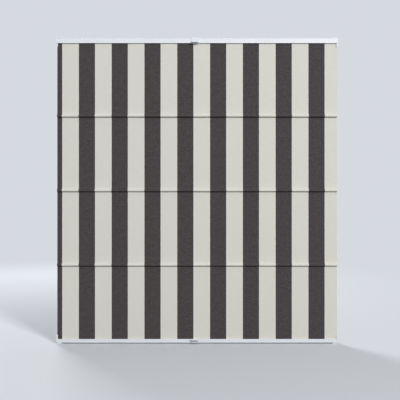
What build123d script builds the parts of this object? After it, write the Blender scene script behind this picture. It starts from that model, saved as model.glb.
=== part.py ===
from build123d import *
from math import atan2, degrees, radians, sin
import os

# A roman blind with rigid rails: a striped cloth in four folds hangs between a fixed top rail and
# a bottom rail that slides up two tight guide cords. Lengths are in millimetres. The origin is the
# middle of the line between the top feet's screw holes, in the plane that those feet are pressed
# against. X runs along the blind, its front is on the -Y side and +Z is up.

# Cloth
CLOTH_WIDTH = 1000.0
CLOTH_THICKNESS = 0.6
CLOTH_Y = -1.0
FOLD_COUNT = 3
FOLD_DROP = 266.1
LAST_DROP = 259.3
LIGHT_STRIPE = 59.5
DARK_STRIPE = 57.8
FIRST_DARK_STRIPE = 17.4

# Lip that each fold makes above its rib
LIP_REACH = 8.5
LIP_SWELL = 14.0
LIP_BOTTOM = 2.4
LIP_RADIUS = 3.0

# Rails
RAIL_HALF = 500.3
RAIL_FRONT = -6.0
RAIL_BACK = 16.0
RAIL_WALL = 1.2
RAIL_CORNER = 1.0
RAIL_BEAD_HEIGHT = 3.6
RAIL_BEAD_REACH = 0.6
RAIL_BEAD_DROP = 0.5
WEB_FRONT = 1.8
SLOT_WIDTH = 1.6
TOP_RAIL_HEIGHT = 16.7
BOTTOM_RAIL_HEIGHT = 12.4
CAP_PLATE = 3.0
CAP_INSERT = 16.0
INSERT_PLAY = 0.2
STRIP_WALL = 1.4
FIT_PLAY = 0.05
STRIP_INSET = 4.0

# Tongues of the end caps, which keep the cloth's corners flat
TONGUE_WIDTH = 5.8
TONGUE_FRONT = -4.5
TONGUE_THICKNESS = 2.0
TOP_TONGUE = 12.9
BOTTOM_TONGUE = 15.8
TONGUE_PLAY = 0.2

# Feet and guide cords
FOOT_X = 492.0
FOOT_WIDTH = 18.0
TOP_FOOT_PLATE = 3.0
BOTTOM_FOOT_PLATE = 3.5
FOOT_PLAY = 0.4
SCREW_RADIUS = 1.75
SCREW_HEAD_RADIUS = 3.4
CORD_Y = 10.0
CORD_RADIUS = 0.6
CORD_PLAY = 0.4
STUD_RADIUS = 3.2
STUD_BORE = 2.6
STUD_LENGTH = 14.0
STUD_LIP = 1.5
STUD_PLAY = 0.1
SPRING_WIRE = 0.35
SPRING_SIDES = 8
SPRING_RADIUS = 2.05
SPRING_HEIGHT = 9.3
SPRING_PITCH = 2.3
FERRULE_RADIUS = 2.3
FERRULE_BORE = 0.62
TOP_FERRULE = 3.0
BOTTOM_FERRULE = 1.8
FERRULE_POCKET = 2.0
CORD_STUB = 0.2
BRAKE_RADIUS = 3.2
BRAKE_BORE = 0.68
BRAKE_HEIGHT = 8.0

# Ribs
RIB_Y = 2.1
RIB_HALF = 476.0
RIB_RADIUS = 2.0
RIB_BORE = 1.3
POCKET_HALF = 466.0
POCKET_PLAY = 0.1
POCKET_TAPE = 0.5
POCKET_TAIL = 9.0
PEG_RADIUS = 1.25
PEG_LENGTH = 12.0
EYE_RADIUS = 3.0
EYE_HEIGHT = 4.0
ARM_ROOT_LENGTH = 6.0
ARM_ROOT_DEPTH = 4.8

# Grip of the bottom rail and middle clip of the top rail
TAB_X = -8.0
TAB_WIDTH = 27.0
TAB_PLATE = 1.4
TAB_REACH = 9.6
TAB_THICKNESS = 2.2
TAB_CORNER = 4.0
GRIP_DROP = 0.8
GRIP_FOOT = 0.8
GRIP_ROOT_RADIUS = 1.2
CLIP_HOOK = 4.0
CLIP_HOOK_THICKNESS = 1.4
CLIP_HOOK_PLAY = 0.2
CLIP_BACK = 14.0
CLIP_LEDGE_RISE = 1.0

# Heights of the planes that the pieces meet at
rail_top = -TOP_FOOT_PLATE
cloth_top = rail_top - TOP_RAIL_HEIGHT
creases = [cloth_top - FOLD_DROP * (i + 1) for i in range(FOLD_COUNT)]
cloth_bottom = creases[-1] - LAST_DROP
rail_bottom = cloth_bottom - BOTTOM_RAIL_HEIGHT
bottom_foot_top = rail_bottom - FOOT_PLAY
bottom_plane = bottom_foot_top - BOTTOM_FOOT_PLATE
cap_half = RAIL_HALF + CAP_PLATE
rail_depth = RAIL_BACK - RAIL_FRONT
rail_middle_y = (RAIL_FRONT + RAIL_BACK) / 2
cloth_half = CLOTH_WIDTH / 2
stripe_pitch = LIGHT_STRIPE + DARK_STRIPE
SIDES = (("left", -1), ("right", 1))

os.makedirs("parts", exist_ok=True)


def save(part, name):
    """Label a finished piece and write it under its own name."""
    part.label = name
    export_step(part, f"parts/{name}.step")


def box_between(x, y, z, mode=Mode.ADD):
    """A box from the low and high values of x, y and z, in either order."""
    sizes = [abs(high - low) for low, high in (x, y, z)]
    middle = [(low + high) / 2 for low, high in (x, y, z)]
    with Locations(tuple(middle)):
        Box(*sizes, mode=mode)


# Rails: hollow bars with a front chamber for the cloth strip, a back chamber for the cap inserts, and
# a bead along the front whose edge runs a little past the rail's. Towards is +1 where the cloth leaves
# through the rail's underside and -1 where it enters its top.
def rail(edge_z, height, towards):
    inner_far = edge_z + towards * (height - RAIL_WALL)
    inner_near = edge_z + towards * RAIL_WALL
    with BuildPart() as bar:
        with BuildSketch(Plane.YZ.offset(-RAIL_HALF)):
            with Locations((rail_middle_y, edge_z + towards * height / 2)):
                RectangleRounded(rail_depth, height, RAIL_CORNER)
            bead_y = RAIL_FRONT - RAIL_BEAD_REACH / 2
            bead_z = edge_z + towards * (RAIL_BEAD_HEIGHT / 2 - RAIL_BEAD_DROP)
            with Locations((bead_y + RAIL_WALL / 2, bead_z)):
                RectangleRounded(RAIL_BEAD_REACH + RAIL_WALL, RAIL_BEAD_HEIGHT, RAIL_BEAD_REACH / 2)
            for front, back in (
                (RAIL_FRONT + RAIL_WALL, WEB_FRONT),
                (WEB_FRONT + RAIL_WALL, RAIL_BACK - RAIL_WALL),
            ):
                with Locations(((front + back) / 2, (inner_far + inner_near) / 2)):
                    Rectangle(back - front, abs(inner_far - inner_near), mode=Mode.SUBTRACT)
            with Locations((CLOTH_Y, (edge_z + inner_near) / 2)):
                Rectangle(SLOT_WIDTH, 2 * RAIL_WALL, mode=Mode.SUBTRACT)
        extrude(amount=2 * RAIL_HALF)
        far_wall_z = edge_z + towards * (height - RAIL_WALL / 2)
        near_wall_z = edge_z + towards * RAIL_WALL / 2
        far_radius = STUD_RADIUS + STUD_PLAY if towards > 0 else CORD_RADIUS + 2 * CORD_PLAY
        for wall_z, radius in ((far_wall_z, far_radius), (near_wall_z, CORD_RADIUS + 2 * CORD_PLAY)):
            with Locations((-FOOT_X, CORD_Y, wall_z), (FOOT_X, CORD_Y, wall_z)):
                Cylinder(radius, 2 * RAIL_WALL, mode=Mode.SUBTRACT)
    return bar.part


save(rail(cloth_top, TOP_RAIL_HEIGHT, 1), "top_rail")
save(rail(cloth_bottom, BOTTOM_RAIL_HEIGHT, -1), "bottom_rail")


# Cloth strips: U bars inside the rails that grip the cloth's ends.
def cloth_strip(edge_z, height, towards):
    open_end = edge_z + towards * (RAIL_WALL + INSERT_PLAY)
    closed_end = edge_z + towards * (height - RAIL_WALL - INSERT_PLAY)
    half_gap = CLOTH_THICKNESS / 2 + FIT_PLAY
    half_outer = half_gap + STRIP_WALL
    slit_end = closed_end - towards * STRIP_WALL
    length = (-RAIL_HALF + STRIP_INSET, RAIL_HALF - STRIP_INSET)
    with BuildPart() as strip:
        box_between(length, (CLOTH_Y - half_outer, CLOTH_Y + half_outer), (open_end, closed_end))
        box_between(length, (CLOTH_Y - half_gap, CLOTH_Y + half_gap), (open_end, slit_end), Mode.SUBTRACT)
    return strip.part


save(cloth_strip(cloth_top, TOP_RAIL_HEIGHT, 1), "top_cloth_strip")
save(cloth_strip(cloth_bottom, BOTTOM_RAIL_HEIGHT, -1), "bottom_cloth_strip")

# The cloth ends a little short of the closed ends of its strips.
cloth_start = rail_top - RAIL_WALL - INSERT_PLAY - STRIP_WALL - FIT_PLAY
cloth_end = rail_bottom + RAIL_WALL + INSERT_PLAY + STRIP_WALL + FIT_PLAY


# Cloth: each fold runs straight down, swells forward into a narrow lip and turns back under it to a
# sharp crease, where the next fold begins. The swell is two equal arcs. Shift is how far the line lies in
# front of the cloth's middle, so its two faces are the lines shifted by half the thickness each way.
swell_height = LIP_SWELL - LIP_BOTTOM - LIP_RADIUS
swell_angle = 2 * degrees(atan2(LIP_REACH, swell_height))
swell_radius = swell_height / 2 / sin(radians(swell_angle))


def cloth_face(shift):
    """Draw one face of the cloth from its upper to its lower end, and return the two end points."""
    top = here = Vector(CLOTH_Y - shift, cloth_start)
    for crease in creases:
        straight = Line(here, (here.X, crease + LIP_SWELL))
        forward = JernArc(straight @ 1, (0, -1), swell_radius - shift, -swell_angle)
        upright = JernArc(forward @ 1, forward % 1, swell_radius + shift, swell_angle)
        under = JernArc(upright @ 1, (0, -1), LIP_RADIUS + shift, 90)
        back = Line(under @ 1, (CLOTH_Y - shift, (under @ 1).Y))
        here = back @ 1
    last = Line(here, (here.X, cloth_end))
    return top, last @ 1


with BuildSketch(Plane.XY) as cloth_section:
    with BuildLine():
        front_ends = cloth_face(CLOTH_THICKNESS / 2)
        back_ends = cloth_face(-CLOTH_THICKNESS / 2)
        for front_end, back_end in zip(front_ends, back_ends):
            Line(front_end, back_end)
    make_face()


def stripe_spans(first, width):
    """Low and high x of the stripes of one width, from the first one to the cloth's right edge."""
    starts = [first + stripe_pitch * i for i in range(int((cloth_half - first) / stripe_pitch) + 1)]
    return [(x, min(x + width, cloth_half)) for x in starts]


light_start = -cloth_half + FIRST_DARK_STRIPE
light_spans = stripe_spans(light_start, LIGHT_STRIPE)
dark_spans = [(-cloth_half, light_start)] + stripe_spans(light_start + LIGHT_STRIPE, DARK_STRIPE)
for name, spans in (("cloth_light_stripes", light_spans), ("cloth_dark_stripes", dark_spans)):
    with BuildPart() as stripes:
        for low, high in spans:
            with BuildSketch(Plane.YZ.offset(low)):
                add(cloth_section.sketch)
            extrude(amount=high - low)
    save(stripes.part, name)


# End caps: a plate over the rail's end, an insert in its back chamber that the guide cord runs
# through, and a tongue in front of the cloth's corner.
def rail_cap(edge_z, height, towards, side, tongue):
    far = edge_z + towards * (height - RAIL_WALL - INSERT_PLAY)
    near = edge_z + towards * (RAIL_WALL + INSERT_PLAY)
    with BuildPart() as cap:
        with BuildSketch(Plane.YZ.offset(side * RAIL_HALF)):
            with Locations((rail_middle_y, edge_z + towards * height / 2)):
                RectangleRounded(rail_depth, height, RAIL_CORNER)
        extrude(amount=side * CAP_PLATE)
        box_between(
            (side * RAIL_HALF, side * (RAIL_HALF - CAP_INSERT)),
            (WEB_FRONT + RAIL_WALL + INSERT_PLAY, RAIL_BACK - RAIL_WALL - INSERT_PLAY),
            (near, far),
        )
        tongue_y = (TONGUE_FRONT, TONGUE_FRONT + TONGUE_THICKNESS)
        root_z = edge_z + towards * 2 * RAIL_CORNER
        box_between((side * RAIL_HALF, side * cap_half), tongue_y, (edge_z - towards * TONGUE_PLAY, root_z))
        box_between(
            (side * (cap_half - TONGUE_WIDTH), side * cap_half),
            tongue_y,
            (edge_z - towards * TONGUE_PLAY, edge_z - towards * tongue),
        )
        tip = cap.edges().filter_by(Axis.Y).group_by(Axis.Z)[0 if towards > 0 else -1]
        fillet(tip, TONGUE_WIDTH / 4)
        if towards > 0:
            with Locations((side * FOOT_X, CORD_Y, (near + far) / 2)):
                Cylinder(STUD_RADIUS + STUD_PLAY, 2 * height, mode=Mode.SUBTRACT)
        else:
            with Locations((side * FOOT_X, CORD_Y, (near + far) / 2)):
                Cylinder(CORD_RADIUS + CORD_PLAY, 2 * height, mode=Mode.SUBTRACT)
            with Locations((side * FOOT_X, CORD_Y, near - BRAKE_HEIGHT / 2)):
                Cylinder(BRAKE_RADIUS + FIT_PLAY, BRAKE_HEIGHT, mode=Mode.SUBTRACT)
    return cap.part


for word, side in SIDES:
    save(rail_cap(cloth_top, TOP_RAIL_HEIGHT, 1, side, TOP_TONGUE), f"top_rail_cap_{word}")
    save(rail_cap(cloth_bottom, BOTTOM_RAIL_HEIGHT, -1, side, BOTTOM_TONGUE), f"bottom_rail_cap_{word}")

# Cord brakes: rubber sleeves in the bottom rail's caps that grip the guide cords.
brake_middle = cloth_bottom - RAIL_WALL - INSERT_PLAY - BRAKE_HEIGHT / 2
for word, side in SIDES:
    with BuildPart() as brake:
        with Locations((side * FOOT_X, CORD_Y, brake_middle)):
            Cylinder(BRAKE_RADIUS, BRAKE_HEIGHT)
            Cylinder(BRAKE_BORE, BRAKE_HEIGHT, mode=Mode.SUBTRACT)
    save(brake.part, f"cord_brake_{word}")


# Feet: plates with a countersunk screw hole. A top foot's stud carries the rail's cap and holds the
# cord's spring; a bottom foot has a pocket underneath for the cord's lower ferrule.
def foot_plate(side, low, high):
    with BuildPart() as plate:
        with BuildSketch(Plane.XY.offset(low)):
            with Locations((side * FOOT_X, rail_middle_y)):
                RectangleRounded(FOOT_WIDTH, rail_depth, RAIL_CORNER)
        extrude(amount=high - low)
    return plate.part


stud_end = -TOP_FOOT_PLATE - STUD_LENGTH
for word, side in SIDES:
    top_plate = foot_plate(side, -TOP_FOOT_PLATE, 0)
    with BuildPart() as foot_top:
        add(top_plate)
        with Locations((side * FOOT_X, CORD_Y, -TOP_FOOT_PLATE - STUD_LENGTH / 2)):
            Cylinder(STUD_RADIUS, STUD_LENGTH)
        with Locations((side * FOOT_X, CORD_Y, (stud_end + STUD_LIP) / 2)):
            Cylinder(STUD_BORE, -stud_end - STUD_LIP, mode=Mode.SUBTRACT)
        with Locations((side * FOOT_X, CORD_Y, stud_end)):
            Cylinder(CORD_RADIUS + CORD_PLAY, 3 * STUD_LIP, mode=Mode.SUBTRACT)
        with Locations(Location((side * FOOT_X, 0, -TOP_FOOT_PLATE), (180, 0, 0))):
            CounterSinkHole(SCREW_RADIUS, SCREW_HEAD_RADIUS, depth=TOP_FOOT_PLATE)
    save(foot_top.part, f"foot_top_{word}")

    bottom_plate = foot_plate(side, bottom_plane, bottom_foot_top)
    with BuildPart() as foot_bottom:
        add(bottom_plate)
        with Locations((side * FOOT_X, CORD_Y, bottom_foot_top)):
            Cylinder(CORD_RADIUS + CORD_PLAY, 3 * BOTTOM_FOOT_PLATE, mode=Mode.SUBTRACT)
        with Locations((side * FOOT_X, CORD_Y, bottom_plane + FERRULE_POCKET / 2)):
            Cylinder(STUD_BORE, FERRULE_POCKET, mode=Mode.SUBTRACT)
        with Locations((side * FOOT_X, 0, bottom_foot_top)):
            CounterSinkHole(SCREW_RADIUS, SCREW_HEAD_RADIUS, depth=BOTTOM_FOOT_PLATE)
    save(foot_bottom.part, f"foot_bottom_{word}")

# Guide cords with their ends: a spring and a ferrule in each top foot, a ferrule in each bottom foot.
spring_seat = -TOP_FOOT_PLATE - STUD_LENGTH + STUD_LIP
top_ferrule_low = spring_seat + SPRING_HEIGHT + 2 * SPRING_WIRE + FIT_PLAY
top_ferrule_high = top_ferrule_low + TOP_FERRULE
bottom_ferrule_high = bottom_plane + FERRULE_POCKET
cord_low = bottom_ferrule_high - BOTTOM_FERRULE
cord_high = top_ferrule_high + CORD_STUB
for word, side in SIDES:
    with BuildPart() as guide_cord:
        with Locations((side * FOOT_X, CORD_Y, (cord_low + cord_high) / 2)):
            Cylinder(CORD_RADIUS, cord_high - cord_low)
    save(guide_cord.part, f"guide_cord_{word}")

    with BuildPart() as top_ferrule:
        with Locations((side * FOOT_X, CORD_Y, (top_ferrule_low + top_ferrule_high) / 2)):
            Cylinder(FERRULE_RADIUS, TOP_FERRULE)
            Cylinder(FERRULE_BORE, TOP_FERRULE, mode=Mode.SUBTRACT)
    save(top_ferrule.part, f"cord_ferrule_top_{word}")

    with BuildPart() as bottom_ferrule:
        with Locations((side * FOOT_X, CORD_Y, (cord_low + bottom_ferrule_high) / 2)):
            Cylinder(FERRULE_RADIUS, BOTTOM_FERRULE)
            Cylinder(FERRULE_BORE, BOTTOM_FERRULE, mode=Mode.SUBTRACT)
    save(bottom_ferrule.part, f"cord_ferrule_bottom_{word}")

    with BuildPart() as cord_spring:
        with BuildLine():
            coil_low = (side * FOOT_X, CORD_Y, spring_seat + SPRING_WIRE)
            coil = Helix(SPRING_PITCH, SPRING_HEIGHT, SPRING_RADIUS, center=coil_low)
        with BuildSketch(Plane(origin=coil @ 0, z_dir=coil % 0)):
            RegularPolygon(SPRING_WIRE, SPRING_SIDES)
        sweep()
    save(cord_spring.part, f"cord_spring_{word}")


# Ribs: a thin tube in a pocket of tape behind each crease, with a cap at each end whose eye runs on
# the guide cord.
for number, crease in enumerate(creases, start=1):
    with BuildPart() as rib_tube:
        with BuildSketch(Plane.YZ.offset(-RIB_HALF)):
            with Locations((RIB_Y, crease)):
                Circle(RIB_RADIUS)
                Circle(RIB_BORE, mode=Mode.SUBTRACT)
        extrude(amount=2 * RIB_HALF)
    save(rib_tube.part, f"rib_tube_{number}")

    pocket_bore = RIB_RADIUS + POCKET_PLAY
    pocket_radius = pocket_bore + POCKET_TAPE
    with BuildPart() as rib_pocket:
        with BuildSketch(Plane.YZ.offset(-POCKET_HALF)):
            with Locations((RIB_Y, crease)):
                Circle(pocket_radius)
            with Locations((RIB_Y - pocket_radius + POCKET_TAPE / 2, crease - POCKET_TAIL / 2)):
                Rectangle(POCKET_TAPE, POCKET_TAIL)
            with Locations((RIB_Y, crease)):
                Circle(pocket_bore, mode=Mode.SUBTRACT)
        extrude(amount=2 * POCKET_HALF)
    save(rib_pocket.part, f"rib_pocket_{number}")

    for word, side in SIDES:
        with BuildPart() as rib_cap:
            with BuildSketch(Plane.XY.offset(crease - EYE_HEIGHT / 2)):
                with Locations((side * (RIB_HALF + ARM_ROOT_LENGTH / 2), RIB_Y)):
                    Rectangle(ARM_ROOT_LENGTH, ARM_ROOT_DEPTH)
                with Locations((side * FOOT_X, CORD_Y)):
                    Circle(EYE_RADIUS)
                make_hull()
            extrude(amount=EYE_HEIGHT)
            with Locations((side * FOOT_X, CORD_Y, crease)):
                Cylinder(CORD_RADIUS + CORD_PLAY, 2 * EYE_HEIGHT, mode=Mode.SUBTRACT)
            with BuildSketch(Plane.YZ.offset(side * RIB_HALF)):
                with Locations((RIB_Y, crease)):
                    Circle(PEG_RADIUS)
            extrude(amount=-side * PEG_LENGTH)
        save(rib_cap.part, f"rib_cap_{word}_{number}")

# Bottom grip: a plate on the rail's front face with a ledge for the fingers along its top.
front_face = RAIL_FRONT - RAIL_BEAD_REACH
plate_front = front_face - TAB_PLATE
grip_top = cloth_bottom - GRIP_DROP
with BuildPart() as bottom_grip:
    box_between(
        (TAB_X - TAB_WIDTH / 2, TAB_X + TAB_WIDTH / 2),
        (plate_front, front_face),
        (rail_bottom + GRIP_FOOT, grip_top),
    )
    with BuildSketch(Plane.XY.offset(grip_top - TAB_THICKNESS)):
        with Locations((TAB_X, front_face - (TAB_PLATE + TAB_REACH) / 2)):
            Rectangle(TAB_WIDTH, TAB_PLATE + TAB_REACH)
    extrude(amount=TAB_THICKNESS)
    corners = bottom_grip.edges().filter_by(Axis.Z).group_by(Axis.Y)[0]
    fillet(corners, TAB_CORNER)
    root = bottom_grip.edges().filter_by(Axis.X).filter_by_position(Axis.Y, plate_front, plate_front)
    fillet(root.sort_by(Axis.Z)[1], GRIP_ROOT_RADIUS)
save(bottom_grip.part, "bottom_grip")

# Middle clip: a plate above the top rail with a screw hole, a strap down the rail's front, a hook
# under its lower edge and a short ledge that springs the strap open.
with BuildPart() as middle_clip:
    clip_x = (TAB_X - TAB_WIDTH / 2, TAB_X + TAB_WIDTH / 2)
    hook_top = cloth_top - RAIL_BEAD_DROP - CLIP_HOOK_PLAY
    hook_bottom = hook_top - CLIP_HOOK_THICKNESS
    ledge_low = cloth_top + CLIP_LEDGE_RISE
    box_between(clip_x, (plate_front, CLIP_BACK), (rail_top, 0))
    box_between(clip_x, (plate_front, front_face), (hook_bottom, 0))
    box_between(clip_x, (plate_front, front_face + CLIP_HOOK), (hook_bottom, hook_top))
    box_between(clip_x, (front_face - TAB_PLATE - TAB_REACH, plate_front), (ledge_low, ledge_low + TAB_THICKNESS))
    corners = middle_clip.edges().filter_by(Axis.Z).group_by(Axis.Y)[0]
    fillet(corners, TAB_CORNER)
    with Locations(Location((TAB_X, 0, rail_top), (180, 0, 0))):
        CounterSinkHole(SCREW_RADIUS, SCREW_HEAD_RADIUS, depth=TOP_FOOT_PLATE)
save(middle_clip.part, "middle_clip")
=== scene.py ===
import math

import bpy
import numpy as np
from bpy.props import FloatProperty, FloatVectorProperty, PointerProperty
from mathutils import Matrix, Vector


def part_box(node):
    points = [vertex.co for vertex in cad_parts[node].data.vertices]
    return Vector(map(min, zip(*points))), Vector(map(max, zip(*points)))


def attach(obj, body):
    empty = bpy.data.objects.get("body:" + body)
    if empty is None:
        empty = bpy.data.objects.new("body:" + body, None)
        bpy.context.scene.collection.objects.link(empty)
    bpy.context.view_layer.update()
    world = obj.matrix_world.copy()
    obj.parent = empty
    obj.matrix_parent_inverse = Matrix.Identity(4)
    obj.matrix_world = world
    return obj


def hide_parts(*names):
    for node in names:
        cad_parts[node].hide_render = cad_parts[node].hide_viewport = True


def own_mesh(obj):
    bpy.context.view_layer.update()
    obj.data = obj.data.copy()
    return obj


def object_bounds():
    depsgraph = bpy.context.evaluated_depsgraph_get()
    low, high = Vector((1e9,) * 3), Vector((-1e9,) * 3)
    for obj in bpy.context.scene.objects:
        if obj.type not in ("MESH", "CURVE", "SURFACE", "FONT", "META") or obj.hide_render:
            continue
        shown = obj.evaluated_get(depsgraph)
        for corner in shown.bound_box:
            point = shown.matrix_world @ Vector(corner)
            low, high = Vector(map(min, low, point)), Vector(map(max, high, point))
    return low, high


bl_info = {
    "name": "Striped Roman Blind",
    "version": (1, 0, 0),
    "blender": (4, 5, 0),
    "location": "3D View > Sidebar > Blind",
    "description": "Cloth, rib pockets, cords and hardware finishes of a roman blind on two guide cords",
    "category": "Object",
}

# Lengths are in metres in the frame of the solids: X runs along the blind, its front is on the -Y side
# and +Z is up. The origin lies between the top feet's screw holes, in the plane they press against.
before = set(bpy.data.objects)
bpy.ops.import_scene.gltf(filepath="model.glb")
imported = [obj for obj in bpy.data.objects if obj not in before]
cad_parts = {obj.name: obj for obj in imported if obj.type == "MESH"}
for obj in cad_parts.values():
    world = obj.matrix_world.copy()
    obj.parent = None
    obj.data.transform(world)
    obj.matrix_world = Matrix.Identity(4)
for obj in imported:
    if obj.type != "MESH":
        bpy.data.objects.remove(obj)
solid_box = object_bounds()

MM = 0.001
RIB_COUNT = 3
SIDES = ("left", "right")
# The bodies that carry cloth, from the top down
BODIES = ["root"] + [f"rib_{i}" for i in range(1, RIB_COUNT + 1)] + ["bottom_rail_set"]

# The two colours and the result of a Mix node that blends colours
LOW_TONE, HIGH_TONE, TONE = 6, 7, 2
# The bands of a Wave node lie a fifth of pi apart in its scaled coordinate.
WAVE_REPEAT = 0.2 * math.pi


def linear(text):
    """Turn an sRGB hex colour into linear red, green and blue."""
    channels = np.array([int(text[i : i + 2], 16) / 255 for i in (1, 3, 5)])
    low = channels / 12.92
    high = ((channels + 0.055) / 1.055) ** 2.4
    return tuple(float(c) for c in np.where(channels <= 0.04045, low, high))


def middle(node):
    """The middle of a solid's box at rest."""
    low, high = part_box(node)
    return (low + high) / 2


# Places that the solids give
cloth_low, cloth_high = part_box("cloth_light_stripes")
cloth_y = middle("top_cloth_strip").y
cloth_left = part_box("cloth_dark_stripes")[0].x
cloth_right = cloth_high.x
top_rail_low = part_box("top_rail")[0].z
bottom_rail_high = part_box("bottom_rail")[1].z
rib_heights = [middle(f"rib_tube_{i}").z for i in range(1, RIB_COUNT + 1)]
rib_y = middle("rib_tube_1").y
tongue_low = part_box("top_rail_cap_left")[0].z
tongue_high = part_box("bottom_rail_cap_left")[1].z


def length_property(name, description, value):
    """A length in metres that a user may change."""
    return FloatProperty(
        name=name, description=description, default=value, subtype="DISTANCE", unit="LENGTH", precision=5
    )


def colour_property(name, description, text):
    """A colour that a user may change, from an sRGB hex value."""
    return FloatVectorProperty(
        name=name, description=description, default=linear(text), size=3, min=0, max=1, subtype="COLOR"
    )


class BlindClothSettings(bpy.types.PropertyGroup):
    """Sizes and colours of the striped cloth."""

    thickness: length_property("Thickness", "Thickness of the cloth", 0.6 * MM)
    light_stripe: length_property("Light stripe", "Width of a light stripe", 59.5 * MM)
    dark_stripe: length_property("Dark stripe", "Width of a dark stripe", 57.8 * MM)
    first_stripe: length_property("First stripe", "Width of the dark part at the left edge", 17.4 * MM)
    lip_reach: length_property("Lip reach", "How far each fold's lip stands forward", 8.5 * MM)
    lip_height: length_property("Lip height", "Height of the lip's top above the rib's middle", 14 * MM)
    lip_gap: length_property("Lip gap", "Height of the lip's underside above the rib's middle", 2.4 * MM)
    lip_radius: length_property("Lip radius", "Radius of the lip's lower edge", 3 * MM)
    lead_in: length_property("Lead-in", "How far a fold has come forward at its lip's top", 0.9 * MM)
    lead_height: length_property("Lead-in height", "Height over which the lead-in comes forward", 28 * MM)
    softness: length_property("Softness", "How far the hanging cloth bows in and out", 0.35 * MM)
    light_colour: colour_property("Light yarn", "Colour of the light stripes", "#D7D6CE")
    dark_colour: colour_property("Dark yarn", "Colour of the dark stripes", "#555051")


class BlindHardwareSettings(bpy.types.PropertyGroup):
    """Colours of the rails, mouldings, ribs and cords."""

    coat_colour: colour_property("Powder coat", "Colour of the rails", "#E3E7ED")
    plastic_colour: colour_property("Mouldings", "Colour of the caps, feet, clip and grip", "#DDE1E7")
    tape_colour: colour_property("Pocket tape", "Colour of the tape behind each fold", "#E2E1DB")
    thread_colour: colour_property("Thread", "Colour of the stitching", "#F0EFEA")
    cord_colour: colour_property("Cord", "Colour of the guide cords", "#E9E9E5")


class BlindStageSettings(bpy.types.PropertyGroup):
    """Camera, lamps and floor."""

    camera_distance: length_property("Camera distance", "From the camera to the cloth", 2.6)
    camera_right: length_property("Camera right", "How far right of the middle the camera is", 10.2 * MM)
    camera_height: length_property("Camera height", "Height of the camera above the top feet", -0.5803)
    view_width: length_property("View width", "Width of the picture at the cloth", 1.4308)
    background: colour_property("Background", "Colour of the floor and the surroundings", "#D6DAE0")
    lamp_colour: colour_property("Lamp colour", "Colour of both lamps", "#FFFEFC")
    ambient_colour: colour_property("Ambient colour", "Colour of the even light all round", "#FCFDFF")
    ambient: FloatProperty(
        name="Ambient", description="Brightness of the even light all round", default=0.42, min=0
    )
    bounce: FloatProperty(
        name="Bounce", description="Share of the floor's brightness that lights the blind",
        default=0.45, min=0, max=1,
    )
    key: FloatProperty(
        name="Key", description="Power of the large soft lamp", default=960, min=0, unit="POWER"
    )


def add_node(owner, kind, inputs=None, **settings):
    """Add a node with its settings and links to a material or a world.

    Each input is a value, the socket to link from, or the node whose first output to link from."""
    tree = owner.node_tree
    node = tree.nodes.new(kind)
    for name, value in settings.items():
        setattr(node, name, value)
    for key, value in (inputs or {}).items():
        if isinstance(value, bpy.types.Node):
            value = value.outputs[0]
        if isinstance(value, bpy.types.NodeSocket):
            tree.links.new(value, node.inputs[key])
        else:
            node.inputs[key].default_value = value
    return node


def empty_material(name):
    """A material whose tree has no nodes yet."""
    material = bpy.data.materials.new(name)
    material.use_nodes = True
    material.node_tree.nodes.clear()
    return material


def shade(colour, brightness=1.0):
    """A colour and its alpha, at a share of its brightness."""
    return (*[c * brightness for c in colour], 1.0)


def per_metre(size):
    """The scale of a pattern whose features are some millimetres apart."""
    return 1 / (size * MM)


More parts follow.
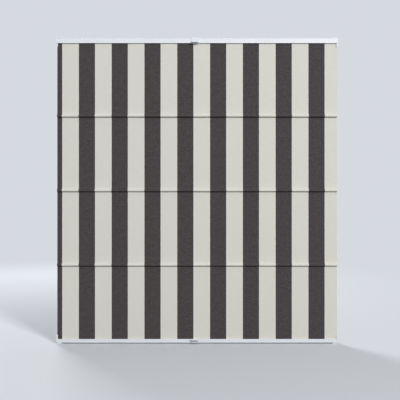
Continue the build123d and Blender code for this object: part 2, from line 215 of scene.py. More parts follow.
def cloth_material(cloth):
    """Yarn-dyed polyester and cotton cloth, plain woven: matt, with thick places in its threads.

    The stripes are bands of the distance across the cloth. The weave is the product of two sines, one
    for the warp and one for the weft, and the thick places are noise drawn out along each thread. The
    dark stripes are flecked, because pale fibres show between their dyed ones."""
    material = empty_material("plain_woven_striped_cloth")
    # Threads lie 0.8 mm apart, about twice as far as in such cloth, so that they show.
    thread = 0.8 * MM
    surface = add_node(material, "ShaderNodeUVMap", uv_map="cloth")
    across = add_node(material, "ShaderNodeSeparateXYZ", {0: surface})
    waves = []
    for axis in (0, 1):
        turns = {0: across.outputs[axis], 1: math.pi / thread}
        turns = add_node(material, "ShaderNodeMath", turns, operation="MULTIPLY")
        waves.append(add_node(material, "ShaderNodeMath", {0: turns}, operation="SINE"))
    weave = add_node(material, "ShaderNodeMath", {0: waves[0], 1: waves[1]}, operation="MULTIPLY")

    # The thick places are about 2 mm wide, and 33 mm long in the warp and 45 mm in the weft.
    slubs = []
    for along, down in ((2.0, 33), (45, 2.2)):
        stretch = (per_metre(along), per_metre(down), 1)
        drawn = add_node(material, "ShaderNodeMapping", {"Vector": surface, "Scale": stretch})
        slubs.append(add_node(material, "ShaderNodeTexNoise", {"Vector": drawn, "Scale": 1, "Detail": 2}))
    slub = add_node(material, "ShaderNodeMath", {0: slubs[0], 1: slubs[1]}, operation="ADD")
    # Pressing leaves clouds of 14 mm. The speckles are 3 mm and the flecks 3.7 by 5.3 mm, several times
    # as coarse as in such yarn, because finer ones would be lost in a picture of the whole blind.
    cloud = {"Vector": surface, "Scale": per_metre(14), "Detail": 3}
    cloud = add_node(material, "ShaderNodeTexNoise", cloud)
    speckle = {"Vector": surface, "Scale": per_metre(3), "Detail": 1}
    speckle = add_node(material, "ShaderNodeTexNoise", speckle)
    stretch = (per_metre(3.7), per_metre(5.3), 1)
    drawn = add_node(material, "ShaderNodeMapping", {"Vector": surface, "Scale": stretch})
    fleck = add_node(material, "ShaderNodeTexNoise", {"Vector": drawn, "Scale": 1, "Detail": 3})

    # The cloth is light where the way through a repeat of two stripes, from 0 to 1, is less than the
    # light stripe's share of it. The warp isn't quite straight, so the edges wander 0.12 mm either way.
    repeat = cloth.light_stripe + cloth.dark_stripe
    first_light = cloth_left + cloth.first_stripe
    wander = 0.12 * MM
    edge = {"Vector": surface, "Scale": per_metre(1.7), "Detail": 0}
    edge = add_node(material, "ShaderNodeTexNoise", edge)
    ragged = {
        "Value": edge, "From Min": 0.3, "From Max": 0.7,
        "To Min": -first_light - wander, "To Max": -first_light + wander,
    }
    ragged = add_node(material, "ShaderNodeMapRange", ragged)
    shifted = add_node(material, "ShaderNodeMath", {0: across.outputs[0], 1: ragged}, operation="ADD")
    repeats = add_node(material, "ShaderNodeMath", {0: shifted, 1: repeat}, operation="DIVIDE")
    way = add_node(material, "ShaderNodeMath", {0: repeats}, operation="FRACT")
    light_share = cloth.light_stripe / repeat
    is_light = add_node(material, "ShaderNodeMath", {0: way, 1: light_share}, operation="LESS_THAN")

    # How pale each spot is, from 0 to 1: a third each of the thick places, the speckles and the clouds
    # on the light stripes, while on the dark ones the flecks count for three fifths.
    spreads = []
    ranges = ((slub, 0.7, 1.3), (speckle, 0.35, 0.65), (cloud, 0.35, 0.65), (fleck, 0.4, 0.6))
    for noise, low, high in ranges:
        spread = {"Value": noise, "From Min": low, "From Max": high}
        spreads.append(add_node(material, "ShaderNodeMapRange", spread))
    mottle, spots, clouds, flecks = spreads
    both = add_node(material, "ShaderNodeMath", {0: mottle, 1: clouds}, operation="ADD")
    worn = add_node(material, "ShaderNodeMath", {0: both, 1: spots}, operation="ADD")
    worn = add_node(material, "ShaderNodeMath", {0: worn, 1: 3.0}, operation="DIVIDE")
    flecked = {0: flecks, 1: 3.0, 2: both}
    flecked = add_node(material, "ShaderNodeMath", flecked, operation="MULTIPLY_ADD")
    flecked = add_node(material, "ShaderNodeMath", {0: flecked, 1: 5.0}, operation="DIVIDE")
    cream = cloth.light_colour
    light = {"Factor": worn, LOW_TONE: shade(cream, 0.95), HIGH_TONE: shade(cream)}
    light = add_node(material, "ShaderNodeMix", light, data_type="RGBA").outputs[TONE]
    brown = cloth.dark_colour
    dark = {"Factor": flecked, LOW_TONE: shade(brown, 0.52), HIGH_TONE: shade(brown)}
    dark = add_node(material, "ShaderNodeMix", dark, data_type="RGBA").outputs[TONE]
    colour = {"Factor": is_light, LOW_TONE: dark, HIGH_TONE: light}
    colour = add_node(material, "ShaderNodeMix", colour, data_type="RGBA")

    # The relief is the weave and three fifths of the thick places.
    relief = {0: slub, 1: 0.6, 2: weave}
    relief = add_node(material, "ShaderNodeMath", relief, operation="MULTIPLY_ADD")
    bump = {"Strength": 0.35, "Distance": 0.08 * MM, "Height": relief}
    bump = add_node(material, "ShaderNodeBump", bump)
    shader = {
        "Base Color": colour.outputs[TONE], "Roughness": 0.95, "Specular IOR Level": 0.05, "Normal": bump,
    }
    shader = add_node(material, "ShaderNodeBsdfPrincipled", shader)
    add_node(material, "ShaderNodeOutputMaterial", {"Surface": shader})
    return material


def tape_material(hardware):
    """Herringbone polyester tape: a soft white with slanting ribs that turn back every 3 mm, and painted
    shade between them.
    """
    material = empty_material("woven_polyester_tape")
    surface = add_node(material, "ShaderNodeUVMap", uv_map="tape")
    parts = add_node(material, "ShaderNodeSeparateXYZ", {0: surface})
    # The ribs lie 1.2 mm apart, about twice as far as in such tape, so that they show.
    fold = add_node(material, "ShaderNodeMath", {0: parts.outputs[1], 1: 3 * MM}, operation="PINGPONG")
    slant = add_node(material, "ShaderNodeMath", {0: parts.outputs[0], 1: fold}, operation="ADD")
    turns = {0: slant, 1: 2 * math.pi * per_metre(1.2)}
    turns = add_node(material, "ShaderNodeMath", turns, operation="MULTIPLY")
    ribs = add_node(material, "ShaderNodeMath", {0: turns}, operation="SINE")
    # The troughs between the ribs are painted up to 14% darker, as shade.
    high = {"Value": ribs, "From Min": -1.0, "From Max": 1.0}
    high = add_node(material, "ShaderNodeMapRange", high)
    white = hardware.tape_colour
    colour = {"Factor": high, LOW_TONE: shade(white, 0.86), HIGH_TONE: shade(white)}
    colour = add_node(material, "ShaderNodeMix", colour, data_type="RGBA")
    bump = add_node(material, "ShaderNodeBump", {"Strength": 0.4, "Distance": 0.1 * MM, "Height": ribs})
    shader = {
        "Base Color": colour.outputs[TONE], "Roughness": 0.85, "Specular IOR Level": 0.3,
        "Sheen Weight": 0.1, "Normal": bump,
    }
    shader = add_node(material, "ShaderNodeBsdfPrincipled", shader)
    add_node(material, "ShaderNodeOutputMaterial", {"Surface": shader})
    return material


def thread_material(hardware):
    """Twisted polyester thread: slightly glossy, with a ply crossing it at a slant every millimetre, drawn
    as painted shade.
    """
    material = empty_material("twisted_polyester_thread")
    place = add_node(material, "ShaderNodeTexCoord").outputs["Object"]
    # Each ply shows only as a band of painted shade, up to 20% darker.
    ply_shade = {"Vector": place, "Scale": WAVE_REPEAT * per_metre(1.0), "Distortion": 0.4}
    ply_shade = add_node(material, "ShaderNodeTexWave", ply_shade, bands_direction="DIAGONAL").outputs["Fac"]
    white = hardware.thread_colour
    colour = {"Factor": ply_shade, LOW_TONE: shade(white, 0.8), HIGH_TONE: shade(white)}
    colour = add_node(material, "ShaderNodeMix", colour, data_type="RGBA").outputs[TONE]
    shader = {"Base Color": colour, "Roughness": 0.55, "Sheen Weight": 0.2}
    shader = add_node(material, "ShaderNodeBsdfPrincipled", shader)
    add_node(material, "ShaderNodeOutputMaterial", {"Surface": shader})
    return material


def coat_material(hardware):
    """Aluminium with a white polyester powder coat: satin, with the faint orange peel of its baking."""
    material = empty_material("powder_coated_aluminium")
    place = add_node(material, "ShaderNodeTexCoord").outputs["Object"]
    # The peel's bumps are 2.4 mm across. The gun's passes leave a haze that changes every 110 mm.
    peel = add_node(material, "ShaderNodeTexNoise", {"Vector": place, "Scale": per_metre(2.4), "Detail": 2})
    haze = add_node(material, "ShaderNodeTexNoise", {"Vector": place, "Scale": per_metre(110), "Detail": 4})
    haze = add_node(material, "ShaderNodeMapRange", {"Value": haze, "From Min": 0.3, "From Max": 0.7})
    white = hardware.coat_colour
    colour = {"Factor": haze, LOW_TONE: shade(white, 0.965), HIGH_TONE: shade(white)}
    colour = add_node(material, "ShaderNodeMix", colour, data_type="RGBA")
    gloss = add_node(material, "ShaderNodeMapRange", {"Value": haze, "To Min": 0.34, "To Max": 0.44})
    bump = add_node(material, "ShaderNodeBump", {"Strength": 0.25, "Distance": 0.05 * MM, "Height": peel})
    shader = {"Base Color": colour.outputs[TONE], "Roughness": gloss, "Coat Weight": 0.08, "Normal": bump}
    shader = add_node(material, "ShaderNodeBsdfPrincipled", shader)
    add_node(material, "ShaderNodeOutputMaterial", {"Surface": shader})
    return material


def plastic_material(hardware):
    """Injection-moulded acetal: white and satin, with the spark-eroded grain of its mould."""
    material = empty_material("moulded_white_acetal")
    place = add_node(material, "ShaderNodeTexCoord").outputs["Object"]
    # The grain is 0.6 mm, several times as coarse as a mould's, so that it shows. The melt's flow
    # leaves paler and darker places 17 mm apart.
    grain = {"Vector": place, "Scale": per_metre(0.6), "Detail": 2}
    grain = add_node(material, "ShaderNodeTexNoise", grain)
    flow = add_node(material, "ShaderNodeTexNoise", {"Vector": place, "Scale": per_metre(17), "Detail": 3})
    flow = add_node(material, "ShaderNodeMapRange", {"Value": flow, "From Min": 0.3, "From Max": 0.7})
    white = hardware.plastic_colour
    colour = {"Factor": flow, LOW_TONE: shade(white, 0.95), HIGH_TONE: shade(white)}
    colour = add_node(material, "ShaderNodeMix", colour, data_type="RGBA")
    bump = add_node(material, "ShaderNodeBump", {"Strength": 0.3, "Distance": 0.03 * MM, "Height": grain})
    shader = {"Base Color": colour.outputs[TONE], "Roughness": 0.42, "IOR": 1.48, "Normal": bump}
    shader = add_node(material, "ShaderNodeBsdfPrincipled", shader)
    add_node(material, "ShaderNodeOutputMaterial", {"Surface": shader})
    return material


def strip_material():
    """Extruded grey vinyl: dull, with die lines along its length and painted shade in their low places."""
    material = empty_material("extruded_grey_vinyl")
    place = add_node(material, "ShaderNodeTexCoord").outputs["Object"]
    # The lines are 0.55 mm apart and fade in and out over 330 mm.
    stretch = (per_metre(330), per_metre(0.55), per_metre(0.55))
    drawn = add_node(material, "ShaderNodeMapping", {"Vector": place, "Scale": stretch})
    lines = add_node(material, "ShaderNodeTexNoise", {"Vector": drawn, "Scale": 1, "Detail": 2})
    # The colour is painted up to 15% darker where the lines are low, as shade.
    grey = linear("#BDBEC0")
    colour = {"Factor": lines, LOW_TONE: shade(grey, 0.85), HIGH_TONE: shade(grey)}
    colour = add_node(material, "ShaderNodeMix", colour, data_type="RGBA")
    bump = add_node(material, "ShaderNodeBump", {"Strength": 0.2, "Distance": 0.05 * MM, "Height": lines})
    shader = {"Base Color": colour.outputs[TONE], "Roughness": 0.6, "Normal": bump}
    shader = add_node(material, "ShaderNodeBsdfPrincipled", shader)
    add_node(material, "ShaderNodeOutputMaterial", {"Surface": shader})
    return material


def tube_material():
    """Drawn aluminium tube: bare metal with fine lines along the way it was drawn."""
    material = empty_material("drawn_aluminium")
    place = add_node(material, "ShaderNodeTexCoord").outputs["Object"]
    # The lines are 0.4 mm apart, coarser than a die's, so that they show, and 170 mm long.
    stretch = (per_metre(170), per_metre(0.4), per_metre(0.4))
    drawn = add_node(material, "ShaderNodeMapping", {"Vector": place, "Scale": stretch})
    lines = add_node(material, "ShaderNodeTexNoise", {"Vector": drawn, "Scale": 1, "Detail": 3})
    metal = linear("#D9DADC")
    colour = {"Factor": lines, LOW_TONE: shade(metal, 0.8), HIGH_TONE: shade(metal)}
    colour = add_node(material, "ShaderNodeMix", colour, data_type="RGBA")
    gloss = add_node(material, "ShaderNodeMapRange", {"Value": lines, "To Min": 0.28, "To Max": 0.46})
    shader = {"Base Color": colour.outputs[TONE], "Metallic": 1.0, "Roughness": gloss}
    shader = add_node(material, "ShaderNodeBsdfPrincipled", shader)
    add_node(material, "ShaderNodeOutputMaterial", {"Surface": shader})
    return material


def ferrule_material():
    """Crimped aluminium ferrule: bare metal, dented every millimetre by the crimping jaws, with painted
    shade in each dent.
    """
    material = empty_material("crimped_aluminium")
    place = add_node(material, "ShaderNodeTexCoord").outputs["Object"]
    dents_and_shade = {"Vector": place, "Scale": per_metre(1.1), "Detail": 3}
    dents_and_shade = add_node(material, "ShaderNodeTexNoise", dents_and_shade)
    # The metal is painted up to 25% darker where each dent is deepest, as shade.
    metal = linear("#CFD0D2")
    colour = {"Factor": dents_and_shade, LOW_TONE: shade(metal, 0.75), HIGH_TONE: shade(metal)}
    colour = add_node(material, "ShaderNodeMix", colour, data_type="RGBA")
    bump = add_node(material, "ShaderNodeBump", {"Strength": 0.4, "Distance": 0.1 * MM, "Height": dents_and_shade})
    shader = {"Base Color": colour.outputs[TONE], "Metallic": 1.0, "Roughness": 0.45, "Normal": bump}
    shader = add_node(material, "ShaderNodeBsdfPrincipled", shader)
    add_node(material, "ShaderNodeOutputMaterial", {"Surface": shader})
    return material


def spring_material():
    """Drawn stainless spring wire: grey metal with streaks as wide as the wire, 0.7 mm."""
    material = empty_material("drawn_spring_wire")
    place = add_node(material, "ShaderNodeTexCoord").outputs["Object"]
    streaks = {"Vector": place, "Scale": per_metre(0.7), "Detail": 2}
    streaks = add_node(material, "ShaderNodeTexNoise", streaks)
    steel = linear("#B4B6BA")
    colour = {"Factor": streaks, LOW_TONE: shade(steel, 0.7), HIGH_TONE: shade(steel)}
    colour = add_node(material, "ShaderNodeMix", colour, data_type="RGBA")
    shader = {"Base Color": colour.outputs[TONE], "Metallic": 1.0, "Roughness": 0.3}
    shader = add_node(material, "ShaderNodeBsdfPrincipled", shader)
    add_node(material, "ShaderNodeOutputMaterial", {"Surface": shader})
    return material


def rubber_material():
    """Moulded black rubber: dull, with a grey bloom in spots of 1.4 mm."""
    material = empty_material("moulded_black_rubber")
    place = add_node(material, "ShaderNodeTexCoord").outputs["Object"]
    bloom = {"Vector": place, "Scale": per_metre(1.4), "Detail": 3}
    bloom = add_node(material, "ShaderNodeTexNoise", bloom)
    black = linear("#3A3A3C")
    colour = {"Factor": bloom, LOW_TONE: shade(black, 0.6), HIGH_TONE: shade(black)}
    colour = add_node(material, "ShaderNodeMix", colour, data_type="RGBA")
    bump = add_node(material, "ShaderNodeBump", {"Strength": 0.3, "Distance": 0.05 * MM, "Height": bloom})
    shader = {
        "Base Color": colour.outputs[TONE], "Roughness": 0.75, "Specular IOR Level": 0.4, "Normal": bump,
    }
    shader = add_node(material, "ShaderNodeBsdfPrincipled", shader)
    add_node(material, "ShaderNodeOutputMaterial", {"Surface": shader})
    return material


def cord_material(hardware):
    """Braided polyester cord: white strands that lean both ways and cross every 3 mm, with painted shade
    between them.
    """
    material = empty_material("braided_polyester_cord")
    place = add_node(material, "ShaderNodeTexCoord").outputs["Object"]
    strands = []
    turn = WAVE_REPEAT * per_metre(3)
    for lean in (turn, -turn):
        leaned = add_node(material, "ShaderNodeMapping", {"Vector": place, "Scale": (lean, turn, turn)})
        wave = {"Vector": leaned, "Scale": 1.0}
        wave = add_node(material, "ShaderNodeTexWave", wave, bands_direction="DIAGONAL")
        strands.append(wave.outputs["Fac"])
    braid_and_shade = add_node(material, "ShaderNodeMath", {0: strands[0], 1: strands[1]}, operation="MAXIMUM")
    # Between the strands the colour is painted up to 30% darker, as shade; the same pattern is the bump.
    white = hardware.cord_colour
    colour = {"Factor": braid_and_shade, LOW_TONE: shade(white, 0.7), HIGH_TONE: shade(white)}
    colour = add_node(material, "ShaderNodeMix", colour, data_type="RGBA")
    bump = add_node(material, "ShaderNodeBump", {"Strength": 0.5, "Distance": 0.1 * MM, "Height": braid_and_shade})
    shader = {"Base Color": colour.outputs[TONE], "Roughness": 0.7, "Sheen Weight": 0.15, "Normal": bump}
    shader = add_node(material, "ShaderNodeBsdfPrincipled", shader)
    add_node(material, "ShaderNodeOutputMaterial", {"Surface": shader})
    return material


def sheet_mesh(name, x, y, z, thickness, uv_name, first_length=0.0):
    """A closed sheet on a grid of rows down the cloth and columns along it, with a map of its flat size.

    Each column's line runs down the cloth in y and z. The front is its right-hand normal (dz, -dy) of unit
    length, and the two faces lie half the thickness in front of and behind the line. The map's first
    number is the place along the blind, and its second is the length of cloth from the upper end, which
    starts at first_length. The result is the mesh and the length of its own cloth."""
    rows, columns = y.shape
    x = np.broadcast_to(x, y.shape)
    down_y = np.gradient(y, axis=0)
    down_z = np.gradient(z, axis=0)
    run = np.hypot(down_y, down_z)
    front_y = down_z / run
    front_z = -down_y / run
    faces = []
    for side in (0.5, -0.5):
        faces.append(np.stack([x, y + side * thickness * front_y, z + side * thickness * front_z], axis=-1))
    points = np.concatenate([f.reshape(-1, 3) for f in faces])
    lengths = np.hypot(np.diff(y, axis=0), np.diff(z, axis=0))
    flat = first_length + np.concatenate([np.zeros((1, columns)), np.cumsum(lengths, axis=0)])
    flat = np.broadcast_to(flat.mean(axis=1, keepdims=True), y.shape)
    uv_front = np.stack([x, flat], axis=-1).reshape(-1, 2)
    uv = np.concatenate([uv_front, uv_front])

    index = np.arange(rows * columns).reshape(rows, columns)
    back = index + rows * columns

    def strip(a, b, c, d):
        """Quads whose corners are taken in turn from four arrays of points."""
        return np.stack([a.ravel(), b.ravel(), c.ravel(), d.ravel()], axis=-1)

    parts = [
        strip(index[:-1, :-1], index[1:, :-1], index[1:, 1:], index[:-1, 1:]),
        strip(back[:-1, :-1], back[:-1, 1:], back[1:, 1:], back[1:, :-1]),
        strip(index[0, :-1], index[0, 1:], back[0, 1:], back[0, :-1]),
        strip(index[-1, :-1], back[-1, :-1], back[-1, 1:], index[-1, 1:]),
        strip(index[:-1, 0], back[:-1, 0], back[1:, 0], index[1:, 0]),
        strip(index[:-1, -1], index[1:, -1], back[1:, -1], back[:-1, -1]),
    ]
    quads = np.concatenate(parts)
    side_of = np.concatenate([np.full(len(p), i) for i, p in enumerate(parts)])
    mesh = bpy.data.meshes.new(name)
    mesh.from_pydata(points.tolist(), [], quads.tolist())
    layer = mesh.uv_layers.new(name=uv_name)
    layer.data.foreach_set("uv", uv[quads.ravel()].astype(np.float32).ravel())
    sharpen(mesh, side_of)
    return mesh, float(flat[-1, 0] - first_length)


def sharpen(mesh, side_of):
    """Shade a mesh of quads smooth, with a sharp edge wherever two faces of different sides meet."""
    edge_of_corner = np.zeros(len(mesh.loops), np.int32)
    mesh.loops.foreach_get("edge_index", edge_of_corner)
    side_of_corner = np.repeat(side_of, 4)
    lowest = np.full(len(mesh.edges), side_of.max() + 1)
    highest = np.full(len(mesh.edges), -1)
    np.minimum.at(lowest, edge_of_corner, side_of_corner)
    np.maximum.at(highest, edge_of_corner, side_of_corner)
    sharp = mesh.attributes.new("sharp_edge", "BOOLEAN", "EDGE")
    sharp.data.foreach_set("value", lowest != highest)
    mesh.polygons.foreach_set("use_smooth", np.ones(len(mesh.polygons), bool))
    mesh.update()


def new_piece(name, mesh, material, body):
    """Link a finished mesh as a piece that rides on a body and takes its finish from a slot."""
    mesh.materials.append(material)
    piece = bpy.data.objects.new(name, mesh)
    bpy.context.scene.collection.objects.link(piece)
    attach(piece, body)
    return piece


def soft_wave(x, seed, wavelengths=(0.43, 0.19, 0.083)):
    """A smooth wander between about -1 and 1 along x: three sines with shares 0.6, 0.3 and 0.1.

    The wavelengths are in metres, and each seed gives other phases."""
    phases = np.random.default_rng(seed).uniform(0, 2 * math.pi, 3)
    shares = (0.6, 0.3, 0.1)
    return sum(s * np.sin(2 * math.pi * x / w + p) for s, w, p in zip(shares, wavelengths, phases))


def hanging_rows(z_high, z_low, count, bow, x):
    """Rows of flat cloth between two heights, bowed forward by bow times the square of a half sine."""
    way = np.linspace(0, 1, count)[:, None]
    z = (z_high + (z_low - z_high) * way) * np.ones_like(x)
    y = cloth_y - bow * np.sin(math.pi * way) ** 2 * np.ones_like(x)
    return y, z


def lead_in(cloth, y, z):
    """Bring the foot of a fold forward by the square of the share of the way down to its lip."""
    way = np.clip(1 - (z - z[-1]) / cloth.lead_height, 0, 1)
    return y - cloth.lead_in * way * way


def lip_rows(cloth, rib_z, x, seed):
    """Rows of a fold's lip, from its top down to the crease behind it.

    It swells forward by a cubic that starts with the lead-in's slope and ends upright, turns under in a
    quarter circle and runs back to the cloth, rising to the crease by the square of the way. The reach
    wanders by 0.3 mm along the blind, and the underside hangs up to 0.24 mm below the crease."""
    swell_rows, turn_rows, back_rows = 17, 9, 6
    reach = cloth.lip_reach + 0.3 * MM * soft_wave(x, seed)
    under = rib_z + cloth.lip_gap + 0.12 * MM * (soft_wave(x, seed + 50) - 1)
    start = rib_z + cloth.lip_height
    crease = rib_z + cloth.lip_gap
    way = np.linspace(0, 1, swell_rows)[:, None]
    height = start - (under + cloth.lip_radius)
    slope = 2 * cloth.lead_in / cloth.lead_height
    swell_z = start - height * way
    swell = cloth.lead_in + (reach - cloth.lead_in) * way * way * (3 - 2 * way)
    swell_y = cloth_y - swell - slope * height * way * (1 - way) ** 2
    turn = np.linspace(0, math.pi / 2, turn_rows)[1:, None]
    turn_y = cloth_y - reach + cloth.lip_radius * (1 - np.cos(turn))
    turn_z = under + cloth.lip_radius * (1 - np.sin(turn))
    back = np.linspace(0, 1, back_rows)[1:, None]
    back_from = cloth_y - reach + cloth.lip_radius
    back_y = back_from + (cloth_y + cloth.thickness / 2 - back_from) * back
    back_z = under + (crease - under) * back * back
    return np.concatenate([swell_y, turn_y, back_y]), np.concatenate([swell_z, turn_z, back_z])


class OBJECT_OT_blind_cloth(bpy.types.Operator):
    """Make the striped cloth: a hem in each rail, a lip above each rib, and between them folds in two
    halves that ride on the bodies above and below"""

    bl_idname = "object.blind_cloth"
    bl_label = "Make Cloth"

    def execute(self, context):
        cloth = context.scene.blind_cloth
        material = cloth_material(cloth)
        # A column every 8.3 mm follows the wander, and the lower halves have more rows for their lead-in.
        columns, hem_rows, upper_rows, lower_rows = 121, 8, 30, 45
        x = np.linspace(cloth_left, cloth_right, columns)[None, :]
        # The hems hang still, down to just past the tongues of the caps.
        past_tongue = 0.8 * MM
        hem_top = tongue_low - past_tongue
        hem_bottom = tongue_high + past_tongue
        tops = [hem_top] + [z + cloth.lip_gap for z in rib_heights]
        bottoms = [z + cloth.lip_height for z in rib_heights] + [hem_bottom]
        # The length of cloth from the top down to the next piece, so that its map goes on
        length = 0.0

        def finish(name, rows, body):
            """Make one piece of the cloth, with its stripes and weave going on from the piece above."""
            nonlocal length
            mesh, drop = sheet_mesh(name, x, *rows, cloth.thickness, "cloth", length)
            piece = new_piece(name, mesh, material, body)
            length += drop
            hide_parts("cloth_light_stripes", "cloth_dark_stripes")
            return piece

        rows = hanging_rows(cloth_high.z, hem_top, hem_rows, 0.0, x)
        finish("cloth_top_hem", rows, "root")
        for number, (top, bottom) in enumerate(zip(tops, bottoms), start=1):
            half = (top + bottom) / 2
            above, below = BODIES[number - 1], BODIES[number]
            bow = cloth.softness * soft_wave(x, 10 * number)
            rows = hanging_rows(top, half, upper_rows, bow, x)
            piece = finish(f"cloth_fold_{number}_upper", rows, above)
            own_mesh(piece)

            bow = cloth.softness * soft_wave(x, 10 * number + 5)
            y, z = hanging_rows(half, bottom, lower_rows, bow, x)
            if number <= RIB_COUNT:
                y = lead_in(cloth, y, z)
            piece = finish(f"cloth_fold_{number}_lower", (y, z), below)
            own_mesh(piece)
            if number <= RIB_COUNT:
                rows = lip_rows(cloth, rib_heights[number - 1], x, number)
                finish(f"cloth_lip_{number}", rows, below)
        rows = hanging_rows(hem_bottom, cloth_low.z, hem_rows, 0.0, x)
        finish("cloth_bottom_hem", rows, "bottom_rail_set")
        return {"FINISHED"}


def stitch_mesh(name, xs, y, z, length, width, height):
    """A row of flat stitches, each a rounded bar: an ellipse of eight points carried along the stitch.

    The points lie at the sine and cosine of eight even angles, times half the height and half the width.
    The ellipse is full over the middle three fifths and narrows to two fifths of its size at each end."""
    corners = 8
    stations = np.array([-0.5, -0.3, 0.3, 0.5]) * length
    sizes = np.array([0.4, 1.0, 1.0, 0.4])[:, None]
    angle = np.linspace(0, 2 * math.pi, corners, endpoint=False)
    along = np.repeat(stations[:, None], corners, axis=1)
    out = sizes * np.sin(angle) * height / 2
    up = sizes * np.cos(angle) * width / 2
    bar = np.stack([along, out, up], axis=-1).reshape(-1, 3)

    spans = len(stations) - 1
    here = np.arange(spans * corners).reshape(spans, corners)
    beside = np.roll(here, -1, axis=1)
    wall = np.stack([here, here + corners, beside + corners, beside], axis=-1).reshape(-1, 4)
    # Three quads across the ring close each end.
    low_end = np.array([[0, 1, 2, 3], [0, 3, 4, 7], [7, 4, 5, 6]])
    high_end = low_end[:, ::-1] + spans * corners
    quads = np.concatenate([wall, low_end, high_end])
    side_of = np.repeat([0, 1, 2], [len(wall), len(low_end), len(high_end)])

    middles = np.stack([xs, np.full_like(xs, y), np.full_like(xs, z)], axis=-1)
    points = (middles[:, None, :] + bar[None]).reshape(-1, 3)
    first_points = len(bar) * np.arange(len(xs))
    all_quads = (quads[None] + first_points[:, None, None]).reshape(-1, 4)
    mesh = bpy.data.meshes.new(name)
    mesh.from_pydata(points.tolist(), [], all_quads.tolist())
    sharpen(mesh, np.tile(side_of, len(xs)))
    return mesh


class OBJECT_OT_blind_pockets(bpy.types.Operator):
    """Make the tape pocket that holds each rib behind its crease, and the stitching down its tail"""

    bl_idname = "object.blind_pockets"
    bl_label = "Make Rib Pockets"

    def execute(self, context):
        hardware = context.scene.blind_hardware
        tape = tape_material(hardware)
        thread = thread_material(hardware)
        thickness = 0.24 * MM
        layer_gap = 0.02 * MM
        columns, up_rows, round_rows, down_rows = 160, 8, 40, 6
        pocket_low, pocket_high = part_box("rib_pocket_1")
        x = np.linspace(pocket_low.x, pocket_high.x, columns)[None, :]
        # The tape's line runs round the rib at this radius.
        loop = (pocket_high.z - rib_heights[0]) - thickness / 2
        for number, rib_z in enumerate(rib_heights, start=1):
            low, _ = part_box(f"rib_pocket_{number}")
            front_y = low.y + thickness / 2
            tail_y = front_y + thickness + layer_gap
            # The tape runs up the tail's front layer, round the rib and down the tail's back layer. It
            # leaves the circle where that meets the back layer.
            leave = math.acos(min(1.0, (rib_y - tail_y) / loop))
            up = np.linspace(low.z, rib_z, up_rows)[:, None]
            turn = np.linspace(0, 2 * math.pi - leave, round_rows)[1:, None]
            end = rib_z - loop * math.sin(leave)
            down = np.linspace(end, low.z, down_rows)[1:, None]
            round_y = rib_y - loop * np.cos(turn)
            y = np.concatenate([np.full_like(up, front_y), round_y, np.full_like(down, tail_y)])
            z = np.concatenate([up, rib_z + loop * np.sin(turn), down])
            sag = 0.06 * MM * soft_wave(x, 70 + number, (0.21, 0.07, 0.031))
            z = z + sag * np.ones_like(y)
            y = y * np.ones_like(x)
            name = f"rib_pocket_tape_{number}"
            mesh, drop = sheet_mesh(name, x, y[::-1], z[::-1], thickness, "tape")
            piece = new_piece(name, mesh, tape, f"rib_{number}")
            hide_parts(f"rib_pocket_{number}")

            # A straight seam holds the two layers 3 mm above their ends. Its stitches start every 3.2 mm.
            pitch = 3.2 * MM
            stitch_x = np.arange(pocket_low.x + 2 * pitch, pocket_high.x - 2 * pitch, pitch)
            stitch_y = tail_y + thickness / 2 + 0.05 * MM
            stitch_z = low.z + 3 * MM
            size = {"length": 2.5 * MM, "width": 0.5 * MM, "height": 0.3 * MM}
            name = f"pocket_stitches_{number}"
            mesh = stitch_mesh(name, stitch_x, stitch_y, stitch_z, **size)
            new_piece(name, mesh, thread, f"rib_{number}")
        return {"FINISHED"}


def dress(material, *nodes):
    """Give each named solid this material in place of its plain one."""
    for node in nodes:
        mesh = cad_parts[node].data
        mesh.materials.clear()
        mesh.materials.append(material)


class OBJECT_OT_blind_hardware(bpy.types.Operator):
    """Finish the rails, caps, feet, clip, grip, strips, ribs and brakes"""

    bl_idname = "object.blind_hardware"
    bl_label = "Finish Hardware"

    def execute(self, context):
        hardware = context.scene.blind_hardware
        dress(coat_material(hardware), "top_rail", "bottom_rail")
        plastic = plastic_material(hardware)
        dress(plastic, "middle_clip", "bottom_grip")
        for word in SIDES:
            dress(plastic, f"top_rail_cap_{word}", f"bottom_rail_cap_{word}")
            dress(plastic, f"foot_top_{word}", f"foot_bottom_{word}")
            dress(plastic, *[f"rib_cap_{word}_{i}" for i in range(1, RIB_COUNT + 1)])
        dress(strip_material(), "top_cloth_strip", "bottom_cloth_strip")
        dress(tube_material(), *[f"rib_tube_{i}" for i in range(1, RIB_COUNT + 1)])
        dress(rubber_material(), *[f"cord_brake_{word}" for word in SIDES])
        return {"FINISHED"}


class OBJECT_OT_blind_cords(bpy.types.Operator):
    """Finish the guide cords with their springs and ferrules"""

    bl_idname = "object.blind_cords"
    bl_label = "Finish Cords"

    def execute(self, context):
        dress(cord_material(context.scene.blind_hardware), *[f"guide_cord_{word}" for word in SIDES])
        dress(spring_material(), *[f"cord_spring_{word}" for word in SIDES])
        ferrules = [f"cord_ferrule_{end}_{word}" for end in ("top", "bottom") for word in SIDES]
        dress(ferrule_material(), *ferrules)
        return {"FINISHED"}


def seen_directly(owner):
    """Add the nodes that give 1 to rays from the camera, mirrors and glass, and 0 to the light's own."""
    path = add_node(owner, "ShaderNodeLightPath").outputs
    seen = path["Is Camera Ray"]
    for ray in ("Is Glossy Ray", "Is Transmission Ray"):
        seen = add_node(owner, "ShaderNodeMath", {0: seen, 1: path[ray]}, operation="MAXIMUM").outputs[0]
    return seen


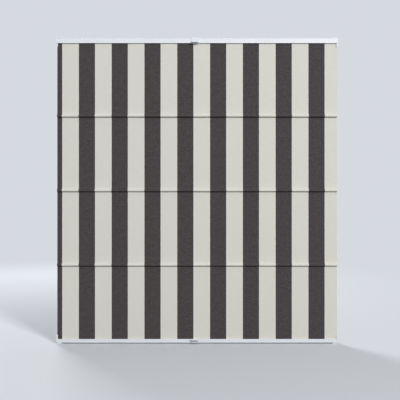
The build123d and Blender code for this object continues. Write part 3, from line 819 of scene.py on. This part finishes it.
def floor_material(colour, near, far, bounce):
    """Matt pale floor: it keeps the shadows near the blind and fades into the surroundings farther off."""
    material = empty_material("matt_pale_floor")
    place = add_node(material, "ShaderNodeTexCoord").outputs["Object"]
    distance = add_node(material, "ShaderNodeVectorMath", {0: place}, operation="LENGTH").outputs["Value"]
    fade = {"Value": distance, "From Min": near, "From Max": far}
    fade = add_node(material, "ShaderNodeMapRange", fade, interpolation_type="SMOOTHSTEP")
    seen = seen_directly(material)
    blend = add_node(material, "ShaderNodeMath", {0: fade, 1: seen}, operation="MULTIPLY")
    tone = {"Factor": seen, LOW_TONE: shade(colour, bounce), HIGH_TONE: shade(colour)}
    tone = add_node(material, "ShaderNodeMix", tone, data_type="RGBA").outputs[TONE]
    matt = add_node(material, "ShaderNodeBsdfDiffuse", {"Color": tone})
    glow = add_node(material, "ShaderNodeEmission", {"Color": shade(colour), "Strength": 1.0})
    mixed = add_node(material, "ShaderNodeMixShader", {0: blend, 1: matt, 2: glow})
    add_node(material, "ShaderNodeOutputMaterial", {"Surface": mixed})
    return material


def aim(thing, place, target):
    """Put a lamp or camera at a place and point it at a target, with its top up."""
    thing.location = place
    direction = Vector(target) - Vector(place)
    thing.rotation_euler = direction.to_track_quat("-Z", "Y").to_euler()


class OBJECT_OT_blind_stage(bpy.types.Operator):
    """Make the floor, the even surroundings, two soft lamps and the camera"""

    bl_idname = "object.blind_stage"
    bl_label = "Make Stage"

    def execute(self, context):
        stage = context.scene.blind_stage
        scene = context.scene
        floor_z = solid_box[0].z
        middle_z = (top_rail_low + bottom_rail_high) / 2
        colour = tuple(stage.background)

        # The floor reaches 30 m each way, so that no edge of it shows, and fades out from 1.2 to 4 m off.
        reach, fade_near, fade_far = 30.0, 1.2, 4.0
        mesh = bpy.data.meshes.new("floor")
        corners = [(-reach, -reach), (reach, -reach), (reach, reach), (-reach, reach)]
        mesh.from_pydata([(x, y, floor_z) for x, y in corners], [], [(0, 1, 2, 3)])
        mesh.materials.append(floor_material(colour, fade_near, fade_far, stage.bounce))
        floor = bpy.data.objects.new("floor", mesh)
        scene.collection.objects.link(floor)

        world = bpy.data.worlds.new("even_surroundings")
        world.use_nodes = True
        world.node_tree.nodes.clear()
        even = {"Color": shade(stage.ambient_colour), "Strength": stage.ambient}
        even = add_node(world, "ShaderNodeBackground", even)
        shown = add_node(world, "ShaderNodeBackground", {"Color": shade(colour), "Strength": 1.0})
        mixed = add_node(world, "ShaderNodeMixShader", {0: seen_directly(world), 1: even, 2: shown})
        add_node(world, "ShaderNodeOutputWorld", {"Surface": mixed})
        scene.world = world

        # The key lamp stands far off at the front right, so that the blind's top is hardly brighter than
        # its foot. Each lamp has a name, a place, a width and its share of the key's power.
        lamps = (
            ("key_lamp", (4.9, -9.0, 4.1), 2.0, 1.0),
            ("back_lamp", (-2.0, 4.2, 1.5), 1.8, 0.18),
        )
        for name, place, size, share in lamps:
            data = bpy.data.lights.new(name, "AREA")
            data.shape = "SQUARE"
            data.size = size
            data.energy = stage.key * share
            data.color = stage.lamp_colour
            lamp = bpy.data.objects.new(name, data)
            scene.collection.objects.link(lamp)
            aim(lamp, place, (0, 0, middle_z))

        data = bpy.data.cameras.new("camera")
        # The lens and the sensor are in millimetres.
        data.sensor_width = 36
        data.lens = data.sensor_width * stage.camera_distance / stage.view_width
        camera = bpy.data.objects.new("camera", data)
        scene.collection.objects.link(camera)
        place = (stage.camera_right, cloth_y - stage.camera_distance, stage.camera_height)
        aim(camera, place, (place[0], 0, place[2]))
        scene.camera = camera
        scene.view_settings.view_transform = "Standard"
        return {"FINISHED"}


class VIEW3D_PT_blind(bpy.types.Panel):
    """Lists the steps that make the blind"""

    bl_label = "Blind"
    bl_idname = "VIEW3D_PT_blind"
    bl_space_type = "VIEW_3D"
    bl_region_type = "UI"
    bl_category = "Blind"

    def draw(self, context):
        column = self.layout.column(align=True)
        for operator in OPERATORS:
            column.operator(operator.bl_idname)
        for group in ("blind_cloth", "blind_hardware", "blind_stage"):
            settings = getattr(context.scene, group)
            box = self.layout.box()
            for name in settings.__annotations__:
                box.prop(settings, name)


OPERATORS = (
    OBJECT_OT_blind_cloth,
    OBJECT_OT_blind_pockets,
    OBJECT_OT_blind_hardware,
    OBJECT_OT_blind_cords,
    OBJECT_OT_blind_stage,
)
CLASSES = (BlindClothSettings, BlindHardwareSettings, BlindStageSettings, *OPERATORS, VIEW3D_PT_blind)


def register():
    for each in CLASSES:
        bpy.utils.register_class(each)
    bpy.types.Scene.blind_cloth = PointerProperty(type=BlindClothSettings)
    bpy.types.Scene.blind_hardware = PointerProperty(type=BlindHardwareSettings)
    bpy.types.Scene.blind_stage = PointerProperty(type=BlindStageSettings)


def unregister():
    del bpy.types.Scene.blind_stage
    del bpy.types.Scene.blind_hardware
    del bpy.types.Scene.blind_cloth
    for each in reversed(CLASSES):
        bpy.utils.unregister_class(each)


def main():
    """Make every piece and the stage."""
    register()
    bpy.ops.object.blind_cloth()
    bpy.ops.object.blind_pockets()
    bpy.ops.object.blind_hardware()
    bpy.ops.object.blind_cords()
    bpy.ops.object.blind_stage()


if __name__ == "__main__":
    main()
